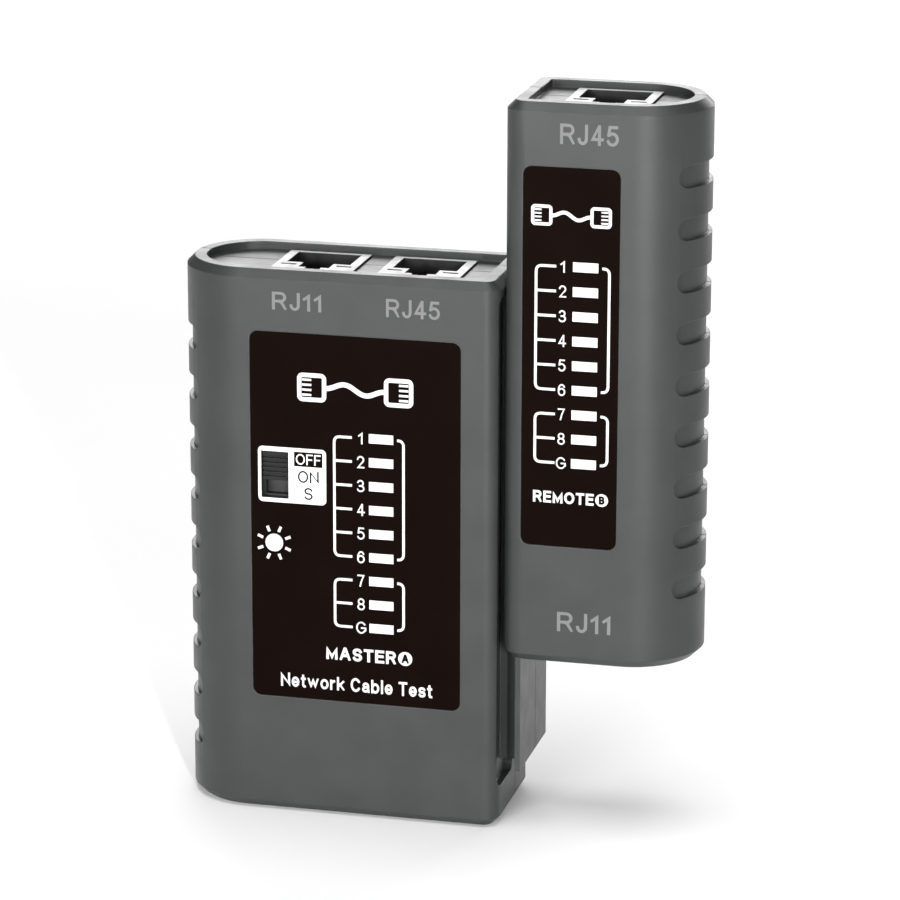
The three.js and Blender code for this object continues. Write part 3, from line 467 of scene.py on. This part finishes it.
# A plain letter set drawn as pen strokes. Each glyph is (width, height, strokes). Strokes run from 0 to 1
# both ways along the pen's centre, and pass 1 upwards where a letter rises above its body. Width and
# height are shares of a capital's height. A stroke that ends where it starts is closed.
S_STROKE = ellipse(0.5, 0.75, 0.48, 0.25, 18, 270) + ellipse(0.5, 0.255, 0.5, 0.255, 90, -162)[1:]
GLYPHS = {
    "1": (0.42, 1, [[(0.0, 0.70), (0.45, 0.80), (0.86, 1.0), (0.86, 0.0)]]),
    "2": (0.62, 1, [ellipse(0.5, 0.72, 0.48, 0.28, 170, -35) + [(0.0, 0.0), (1.0, 0.0)]]),
    "3": (0.62, 1, [ellipse(0.47, 0.75, 0.43, 0.25, 160, -90) + [(0.32, 0.5)],
                    [(0.32, 0.5)] + ellipse(0.47, 0.255, 0.53, 0.255, 85, -160)]),
    "4": (0.66, 1, [[(0.72, 0.0), (0.72, 1.0)], [(0.66, 1.0), (0.0, 0.27), (1.0, 0.27)]]),
    "5": (0.62, 1, [[(0.90, 1.0), (0.20, 1.0), (0.08, 0.56)], ellipse(0.48, 0.32, 0.52, 0.32, 132, -155)]),
    "6": (0.62, 1, [bowl(0.5, 0.315, 0.5, 0.315), ellipse(0.52, 0.50, 0.52, 0.5, 38, 180) + [(0.0, 0.32)]]),
    "7": (0.60, 1, [[(0.0, 1.0), (1.0, 1.0), (0.55, 0.45), (0.36, 0.0)]]),
    "8": (0.62, 1, [bowl(0.5, 0.755, 0.43, 0.245), bowl(0.5, 0.255, 0.5, 0.255)]),
    "A": (0.84, 1, [[(0.0, 0.0), (0.46, 1.0), (0.54, 1.0), (1.0, 0.0)], [(0.2, 0.33), (0.8, 0.33)]]),
    "B": (0.70, 1, [[(0.0, 0.0), (0.0, 1.0)],
                    [(0.1, 1.0), (0.55, 1.0)] + ellipse(0.55, 0.755, 0.38, 0.245, 80, -90) + [(0.1, 0.51)],
                    [(0.1, 0.51), (0.55, 0.51)] + ellipse(0.55, 0.255, 0.45, 0.255, 80, -90)
                    + [(0.1, 0.0)]]),
    "C": (0.80, 1, [ellipse(0.5, 0.5, 0.5, 0.5, 38, 322, 24)]),
    "E": (0.66, 1, [[(1.0, 1.0), (0.0, 1.0), (0.0, 0.0), (1.0, 0.0)], [(0.0, 0.53), (0.9, 0.53)]]),
    "F": (0.62, 1, [[(1.0, 1.0), (0.0, 1.0), (0.0, 0.0)], [(0.0, 0.50), (0.86, 0.50)]]),
    "G": (0.84, 1, [ellipse(0.5, 0.5, 0.5, 0.5, 38, 325, 24) + [(1.0, 0.24), (1.0, 0.47), (0.55, 0.47)]]),
    "J": (0.52, 1, [[(1.0, 1.0), (1.0, 0.30)] + ellipse(0.5, 0.28, 0.5, 0.28, -5, -170)]),
    "M": (0.84, 1, [[(0.0, 0.0), (0.0, 1.0), (0.5, 0.06), (1.0, 1.0), (1.0, 0.0)]]),
    "N": (0.74, 1, [[(0.0, 0.0), (0.0, 1.0), (1.0, 0.0), (1.0, 1.0)]]),
    "O": (0.86, 1, [bowl(0.5, 0.5, 0.5, 0.5)]),
    "R": (0.74, 1, [[(0.0, 0.0), (0.0, 1.0)],
                    [(0.1, 1.0), (0.60, 1.0)] + ellipse(0.60, 0.74, 0.36, 0.26, 80, -90) + [(0.1, 0.48)],
                    [(0.50, 0.48), (0.70, 0.38), (1.0, 0.0)]]),
    "S": (0.70, 1, [S_STROKE]),
    "T": (0.70, 1, [[(0.0, 1.0), (1.0, 1.0)], [(0.5, 1.0), (0.5, 0.0)]]),
    "a": (0.60, 0.74, [ellipse(0.47, 0.68, 0.43, 0.32, 160, 0) + [(0.90, 0.30), (0.98, 0.0)],
                       [(0.88, 0.58), (0.50, 0.54)] + ellipse(0.38, 0.27, 0.38, 0.27, 110, 265)
                       + [(0.62, 0.05), (0.88, 0.26)]]),
    "b": (0.64, 0.74, [[(0.0, 1.40), (0.0, 0.0)], bowl(0.5, 0.5, 0.5, 0.5)]),
    "e": (0.62, 0.74, [[(0.1, 0.48), (1.0, 0.48)], ellipse(0.5, 0.5, 0.5, 0.5, 5, 320, 22)]),
    "k": (0.62, 0.74, [[(0.0, 1.40), (0.0, 0.0)], [(0.92, 1.0), (0.0, 0.34)], [(0.34, 0.60), (1.0, 0.0)]]),
    "l": (0.19, 1.0, [[(0.5, 1.0), (0.5, 0.0)]]),
    "o": (0.66, 0.74, [bowl(0.5, 0.5, 0.5, 0.5)]),
    "r": (0.42, 0.74, [[(0.0, 1.0), (0.0, 0.0)], ellipse(0.95, 0.50, 0.95, 0.46, 172, 92, 8)]),
    "s": (0.58, 0.74, [S_STROKE]),
    "t": (0.40, 0.74, [[(0.42, 1.32), (0.42, 0.22), (0.58, 0.03), (1.0, 0.0)],
                       [(0.0, 0.97), (0.95, 0.97)]]),
    "w": (0.92, 0.74, [[(0.0, 1.0), (0.26, 0.0), (0.5, 0.92), (0.74, 0.0), (1.0, 1.0)]]),
}
LETTER_GAP, WORD_GAP = 0.13, 0.36      # as shares of a capital's height
OVERPRINT = 0.004                      # depth between strokes that cross, in mm
NO_LIMIT = 10.0                        # a height that no letter reaches


def text_strokes(text, pen):
    """Pen strokes of a line of text as outlines, in capitals' heights, and its whole width."""
    outlines, x = [], 0.0
    for letter in text:
        if letter == " ":
            x += WORD_GAP
            continue
        wide, tall, strokes = GLYPHS[letter]
        for stroke in strokes:
            path = [(x + pen / 2 + u * (wide - pen), pen / 2 + v * (tall - pen)) for u, v in stroke]
            closed = (Vector(path[0]) - Vector(path[-1])).length < 1e-6
            if closed:
                left, right = ribbon_outline(path[:-1], pen, closed=True)
            else:
                ends = []
                for tip, inner in ((path[0], path[1]), (path[-1], path[-2])):
                    tip, inner = Vector(tip), Vector(inner)
                    ends.append(tuple(tip + (tip - inner).normalized() * pen / 2))
                path = [ends[0]] + path[1:-1] + [ends[1]]
                left, right = ribbon_outline(path, pen)
            top = tall if max(v for u, v in stroke) <= 1.0 else NO_LIMIT
            trimmed = [[(min(max(a, x), x + wide), min(max(b, 0.0), top)) for a, b in side]
                       for side in (left, right)]
            outlines.append((trimmed, closed))
        x += wide + LETTER_GAP
    return outlines, x - LETTER_GAP


def write(bm, unit, text, depth, z0, z1, x0=None, x1=None, centre=None, pen=0.13):
    """Text between z0 and z1, stretched from x0 to x1 or centred on x = centre. The pen is a share of
    the height."""
    outlines, width = text_strokes(text, pen)
    tall = z1 - z0
    wide = tall if centre is not None else (x1 - x0) / width
    left = centre - width * tall / 2 if centre is not None else x0
    for count, (sides, closed) in enumerate(outlines):
        sides = [[(left + a * wide, z0 + b * tall) for a, b in side] for side in sides]
        strip(bm, unit, sides, depth + OVERPRINT * (count % 3), closed)


LED_PITCH = 4.55
LED_NAMES = "12345678G"


def led_heights(lowest):
    return {name: lowest + LED_PITCH * (len(LED_NAMES) - 1 - i) for i, name in enumerate(LED_NAMES)}


def brackets(unit, lowest, left_x, left_end, right_start, right_x):
    """The pairs of brackets round lamps 1-6 and 7-G, with a tick at each lamp on the left."""
    heights = led_heights(lowest)

    def build(bm):
        for group in ("123456", "78G"):
            top, bottom = heights[group[0]], heights[group[-1]]
            for tips, back in ((left_end, left_x), (right_start, right_x)):
                corners = [(tips, top), (back, top), (back, bottom), (tips, bottom)]
                line(bm, unit, rounded_path(corners, BRACKET_CORNER), LABEL_PRINT)
            for name in group[1:-1]:
                tick = [(left_x + STROKE / 2, heights[name]), (left_end, heights[name])]
                line(bm, unit, tick, LABEL_PRINT)
    piece_from(unit + "_print_brackets", build, WHITE_INK, unit)


def lamp_names(unit, lowest, centre, height):
    def build(bm):
        for name, z in led_heights(lowest).items():
            write(bm, unit, name, LABEL_PRINT, z - height / 2, z + height / 2, centre=centre, pen=0.12)
    piece_from(unit + "_print_lamp_names", build, WHITE_INK, unit)


def cable_pictogram(unit, x0, x1, z0, z1):
    """Two square plugs joined by a wavy cable."""
    height = z1 - z0
    middle = (z0 + z1) / 2
    plug = height * 1.02
    stroke = height * 0.15
    pins = 4
    wave_steps = 40

    def build(bm):
        for left, outward in ((x0, -1), (x1 - plug, 1)):
            half = stroke / 2
            box = rounded_box(left + half, left + plug - half, z0 + half, z1 - half, height * 0.12)
            line(bm, unit, box[:-1] if box[0] == box[-1] else box, LABEL_PRINT, stroke, closed=True)
            outer = left + stroke if outward < 0 else left + plug - stroke
            for k in range(pins):
                z = z0 + stroke + (height - 2 * stroke) * (k + 0.5) / pins
                pin = [(outer - outward * plug * 0.02, z), (outer - outward * plug * 0.34, z)]
                line(bm, unit, pin, LABEL_PRINT, height * 0.075)
        start, end = x0 + plug, x1 - plug
        wave = []
        for i in range(wave_steps + 1):
            t = i / wave_steps
            swing = math.sin(t * math.tau) * height * 0.22 * math.sin(t * math.pi)
            wave.append((start + (end - start) * t, middle + swing))
        line(bm, unit, wave, LABEL_PRINT, stroke * 1.15)
    piece_from(unit + "_print_pictogram", build, WHITE_INK, unit)


def name_plate(unit, text, badge, x0, x1, z0, z1, gap):
    """A unit's name with a round badge that holds one dark letter."""
    size = z1 - z0
    badge_r = size * 0.54
    badge_x, badge_z = x1 - badge_r, (z0 + z1) / 2
    reach = size * 0.35    # how far the letter goes above and below the badge's centre

    def build(bm):
        write(bm, unit, text, LABEL_PRINT, z0, z1, x0=x0, x1=x1 - 2 * badge_r - gap, pen=0.2)
        slab(bm, unit, arc(badge_x, badge_z, badge_r, 0, 360, 40)[:-1], LABEL_PRINT)

    def build_letter(bm):
        depth = LABEL_PRINT - LAYER
        write(bm, unit, badge, depth, badge_z - reach, badge_z + reach, centre=badge_x, pen=0.26)
    piece_from(unit + "_print_name", build, WHITE_INK, unit)
    piece_from(unit + "_print_badge_letter", build_letter, DARK_INK, unit)


MASTER_LED_LOW, REMOTE_LED_LOW = 37.25, 38.3
brackets("master", MASTER_LED_LOW, 31.15, 34.5, 43.05, 44.25)
brackets("remote", REMOTE_LED_LOW, 6.25, 9.9, 18.3, 19.6)
lamp_names("master", MASTER_LED_LOW, 36.15, 2.3)
lamp_names("remote", REMOTE_LED_LOW, 11.1, 2.2)
cable_pictogram("master", 24.2, 46.1, 79.9, 85.3)
cable_pictogram("remote", 5.25, 19.9, 82.0, 85.8)
name_plate("master", "MASTER", "A", 29.4, 45.9, 30.6, 33.1, 0.4)
name_plate("remote", "REMOTE", "B", 6.0, 19.9, 30.7, 32.9, 0.3)


def purpose(bm):
    write(bm, "master", "Network Cable Test", LABEL_PRINT, 24.6, 27.3, x0=20.6, x1=49.7, pen=0.165)


piece_from("master_print_purpose", purpose, WHITE_INK, "master")


def socket_marks(unit, marks):
    def build(bm):
        for text, x0, x1, z0, z1 in marks:
            write(bm, unit, text, SHELL_PRINT, z0, z1, x0=x0, x1=x1, pen=0.15)
    piece_from(unit + "_print_socket_marks", build, GREY_INK, unit)


socket_marks("master", [("RJ11", 19.6, 29.05, 96.85, 100.2), ("RJ45", 41.05, 51.1, 96.75, 100.15)])
socket_marks("remote", [("RJ45", 10.4, 21.0, 96.9, 100.6), ("RJ11", 10.7, 20.8, 6.4, 10.1)])

SUN = (19.55, 52.45)
RAYS = 8
RAY_ENDS = (2.3, 3.4)
RAY_WIDTH = 0.52


def sun_rays(bm):
    for k in range(RAYS):
        angle = math.radians(360 / RAYS * (k + 0.5))
        ray = [(SUN[0] + r * math.cos(angle), SUN[1] + r * math.sin(angle)) for r in RAY_ENDS]
        line(bm, "master", ray, LABEL_PRINT, RAY_WIDTH)


piece_from("master_print_sun_rays", sun_rays, WHITE_INK, "master")

SLOT_LOW, SLOT_HIGH = (17.2, 61.1), (22.4, 70.0)


def switch_field(bm):
    """White field round the switch: four plates that leave the slot open, with round outer corners."""
    x0, x1, z0, z1 = 16.6, 29.6, 60.3, 70.9
    left_x, right_x, low_z, high_z = SLOT_LOW[0], SLOT_HIGH[0], SLOT_LOW[1], SLOT_HIGH[1]
    middle_x, middle_z = (x0 + x1) / 2, (z0 + z1) / 2
    outer = rounded_box(x0, x1, z0, z1, 0.9)
    lower_right = [p for p in outer if p[0] > middle_x and p[1] < middle_z]
    upper_right = [p for p in outer if p[0] > middle_x and p[1] > middle_z]
    lower_left = [p for p in outer if p[0] < middle_x and p[1] < middle_z]
    upper_left = [p for p in outer if p[0] < middle_x and p[1] > middle_z]
    plates = (
        [(right_x, z0)] + lower_right + upper_right + [(right_x, z1)],
        [(right_x, high_z), (right_x, z1)] + upper_left + [(x0, high_z)],
        [(x0, low_z)] + lower_left + [(right_x, z0), (right_x, low_z)],
        [(x0, low_z), (left_x, low_z), (left_x, high_z), (x0, high_z)],
    )
    for outline in plates:
        slab(bm, "master", outline, LABEL_PRINT)


def switch_off_box(bm):
    corners = [(23.5, 67.45), (28.9, 67.45), (28.9, 70.2), (23.5, 70.2)]
    slab(bm, "master", corners, LABEL_PRINT - LAYER)


def switch_dark_words(bm):
    depth = LABEL_PRINT - LAYER
    write(bm, "master", "ON", depth, 64.35, 66.65, centre=26.2, pen=0.13)
    write(bm, "master", "S", depth, 61.15, 63.45, centre=26.2, pen=0.13)


def switch_off_word(bm):
    write(bm, "master", "OFF", LABEL_PRINT - 2 * LAYER, 67.8, 69.85, x0=23.85, x1=28.6, pen=0.13)


piece_from("master_print_switch_field", switch_field, WHITE_INK, "master")
piece_from("master_print_off_box", switch_off_box, DARK_INK, "master")
piece_from("master_print_switch_words", switch_dark_words, DARK_INK, "master")
piece_from("master_print_off_word", switch_off_word, WHITE_INK, "master")


SIGN_REACH = 1.8       # from a sign's centre to the end of a bar, in mm
SIGN_HALF_BAR = 0.35
SIGN_SPREAD = 6.5      # of each sign from the battery's middle
SIGN_DROP = 9.5        # below the battery's top
SIGN_SINK = 0.03       # how deep inside the battery's face the signs start, in mm
SIGN_JOINT = 0.01      # between the bars of the plus


def plate(bm, x0, x1, z0, z1, depth):
    slab(bm, "master", [(x0, z0), (x1, z0), (x1, z1), (x0, z1)], depth)


def battery_signs(bm):
    """A plus and a minus on the battery's back, under its terminals."""
    corner = UNIT_CORNER["master"]
    face = (battery_high.y - corner.y) / MM - SIGN_SINK
    middle = ((battery_low.x + battery_high.x) / 2 - corner.x) / MM
    z = (battery_high.z - corner.z) / MM - SIGN_DROP
    for x, upright in ((middle - SIGN_SPREAD, True), (middle + SIGN_SPREAD, False)):
        plate(bm, x - SIGN_REACH, x + SIGN_REACH, z - SIGN_HALF_BAR, z + SIGN_HALF_BAR, face)
        if upright:
            inner = SIGN_HALF_BAR + SIGN_JOINT
            for z0, z1 in ((z - SIGN_REACH, z - inner), (z + inner, z + SIGN_REACH)):
                plate(bm, x - SIGN_HALF_BAR, x + SIGN_HALF_BAR, z0, z1, face)


piece_from("battery_print_signs", battery_signs, WHITE_INK, "master")


# ------------------------------------------------------------ stage

FLOOR_GAP = 0.00005    # between the floor and the object's base
FLOOR_SIZE = 4.0       # from the floor's middle to its sides


def floor():
    made, tree, shader, coords = start_material("studio_paper")
    link(tree, mix_colours(tree, remap(tree, noise(tree, coords, 0.2), 0.0, 1.0), grey(0.90), grey(0.92)),
         shader.inputs["Base Color"])
    shader.inputs["Roughness"].default_value = 0.9
    bm = bmesh.new()
    bmesh.ops.create_grid(bm, x_segments=4, y_segments=4, size=FLOOR_SIZE)
    mesh = bpy.data.meshes.new("studio_floor")
    bm.to_mesh(mesh)
    bm.free()
    mesh.materials.append(made)
    sheet = bpy.data.objects.new("studio_floor", mesh)
    bpy.context.scene.collection.objects.link(sheet)
    sheet.location.z = CAD_BOX[0][2] - FLOOR_GAP


CENTRE = (Vector(CAD_BOX[0]) + Vector(CAD_BOX[1])) / 2


def area_light(name, azimuth, elevation, distance, width, height, power):
    """A soft light aimed at the object. Azimuth 0 is in front of it, and grows to the right."""
    data = bpy.data.lights.new(name, "AREA")
    data.shape = "RECTANGLE"
    data.size, data.size_y = width, height
    data.energy = power
    made = bpy.data.objects.new(name, data)
    bpy.context.scene.collection.objects.link(made)
    az, el = math.radians(azimuth), math.radians(elevation)
    away = Vector((math.sin(az) * math.cos(el), -math.cos(az) * math.cos(el), math.sin(el)))
    made.location = CENTRE + away * distance
    made.rotation_euler = away.to_track_quat("Z", "Y").to_euler()


# Each light's name, azimuth, elevation, distance, width, height and power.
LIGHTS = (
    ("key_front", -14, 9.5, 1.5, 0.6, 0.4, 16.0),
    ("strip_right", 25, 9, 1.3, 0.05, 0.38, 16.0),
    ("strip_left", -92, 9, 1.3, 0.12, 0.38, 1.2),
    ("top", 0, 84, 1.5, 1.2, 1.2, 18.5),
    ("back_glow", 192, 20, 2.2, 1.6, 1.0, 26.0),
    ("side_glow", 162, 8, 1.6, 0.3, 0.4, 6.0),
)
SKY_STRENGTH = 0.06


def studio():
    world = bpy.data.worlds.new("studio")
    world.use_nodes = True
    background = world.node_tree.nodes["Background"]
    background.inputs["Color"].default_value = (1.0, 1.0, 1.0, 1)
    background.inputs["Strength"].default_value = SKY_STRENGTH
    bpy.context.scene.world = world
    for light in LIGHTS:
        area_light(*light)


CAMERA_AT = (0.1751, -0.7021, 0.2739)
CAMERA_AZIMUTH, CAMERA_ELEVATION, CAMERA_ROLL = 13.947, 15.835, 0.131
CAMERA_LENS = 162.5    # in mm, on a sensor 36 mm wide


def camera():
    data = bpy.data.cameras.new("camera")
    data.lens = CAMERA_LENS
    data.sensor_width = 36.0
    data.clip_start, data.clip_end = 0.01, 50.0
    made = bpy.data.objects.new("camera", data)
    bpy.context.scene.collection.objects.link(made)
    az, el, roll = (math.radians(a) for a in (CAMERA_AZIMUTH, CAMERA_ELEVATION, CAMERA_ROLL))
    back = Vector((math.sin(az) * math.cos(el), -math.cos(az) * math.cos(el), math.sin(el)))
    right = Vector((math.cos(az), math.sin(az), 0))
    up = back.cross(right)
    rolled_right = right * math.cos(roll) + up * math.sin(roll)
    rolled_up = up * math.cos(roll) - right * math.sin(roll)
    turn = Matrix((rolled_right, rolled_up, back)).transposed().to_4x4()
    made.matrix_world = Matrix.Translation(CAMERA_AT) @ turn
    bpy.context.scene.camera = made


floor()
studio()
camera()
bpy.context.scene.view_settings.view_transform = "Standard"
